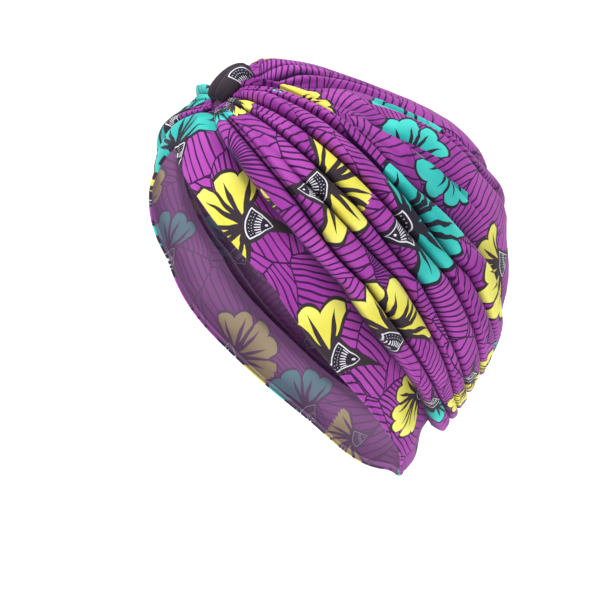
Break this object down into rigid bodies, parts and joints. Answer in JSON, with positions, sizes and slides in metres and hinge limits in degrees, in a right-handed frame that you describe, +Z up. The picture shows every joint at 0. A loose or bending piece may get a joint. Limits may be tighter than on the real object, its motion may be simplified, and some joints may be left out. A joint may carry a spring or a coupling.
{
  "type": "tied head wrap",
  "caption": "Pre-tied twist-front head wrap in wax-print jersey: folded hem band, pleated sides, smooth crown and a gathered loop at the centre front.",
  "frame": {"origin": "middle of the head space, level with the top of the wearer's ears", "axes": "+Z up through the crown, -Y towards the wearer's face, +X towards the wearer's left"},
  "size_m": [0.1866, 0.2187, 0.2545],
  "materials": {
    "band_cloth": "soft printed jersey, purple ground with large yellow and turquoise flowers",
    "print_cloth": "soft printed jersey, purple ground with dark line hatching and large yellow and turquoise flowers",
    "knot_cloth": "the same jersey where its dark flower centre shows"
  },
  "bodies": {
    "root": {"hem_band": "band_cloth", "left_drape": "print_cloth", "right_drape": "print_cloth", "crown_panel": "print_cloth", "knot_loop": "knot_cloth"}
  },
  "joints": []
}
